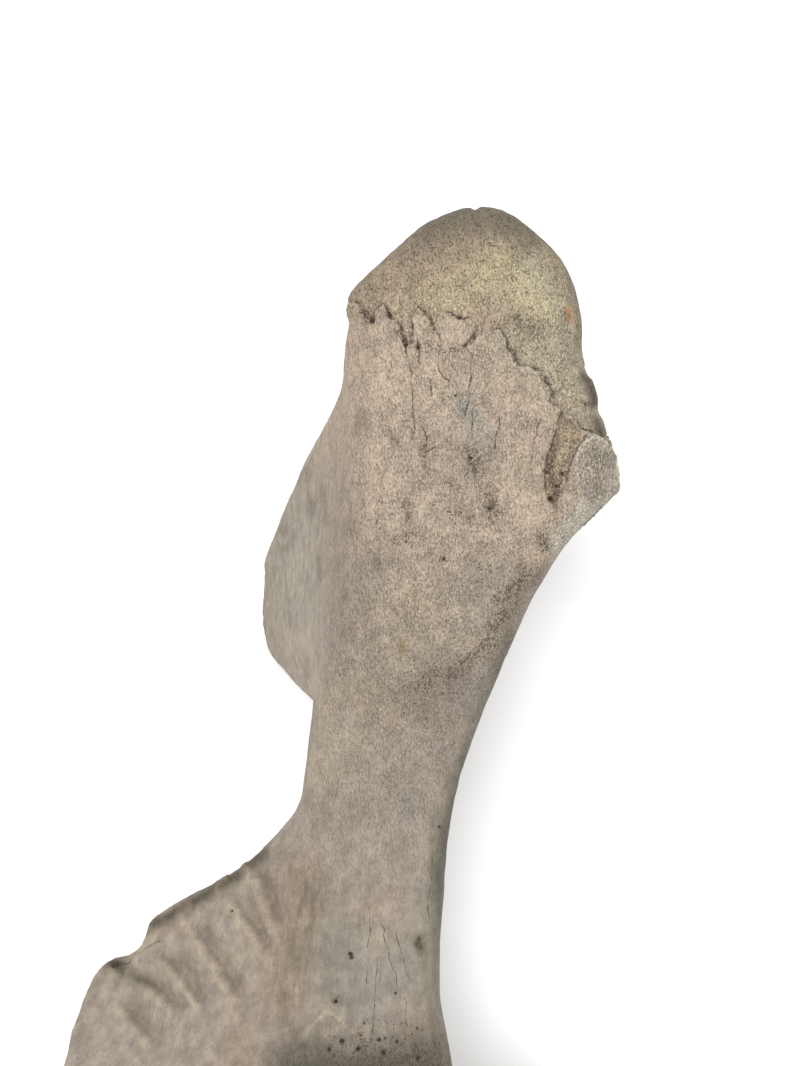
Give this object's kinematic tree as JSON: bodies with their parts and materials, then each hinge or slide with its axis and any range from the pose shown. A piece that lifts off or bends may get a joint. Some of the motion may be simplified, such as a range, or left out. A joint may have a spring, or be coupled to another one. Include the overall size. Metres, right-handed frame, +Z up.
{
  "type": "cow hip bone",
  "caption": "Life-size right hip bone of an adult cow, one fused bone with ilium, high ischiadic spine, hip socket, oval foramen, pubis and three-cornered ischial tuber, lying on its inner side.",
  "frame": {"origin": "on the floor, under the centre of the bone's box", "axes": "+Y along the ilium from the hip socket towards the head, +X from the bone's upper (back) side to its belly side, +Z up from the floor, away from the mid line"},
  "size_m": [0.245, 0.478, 0.209],
  "materials": {
    "bone": "dry, weathered bone, matte and finely porous"
  },
  "bodies": {
    "root": {"os_coxae": "bone"}
  },
  "joints": []
}
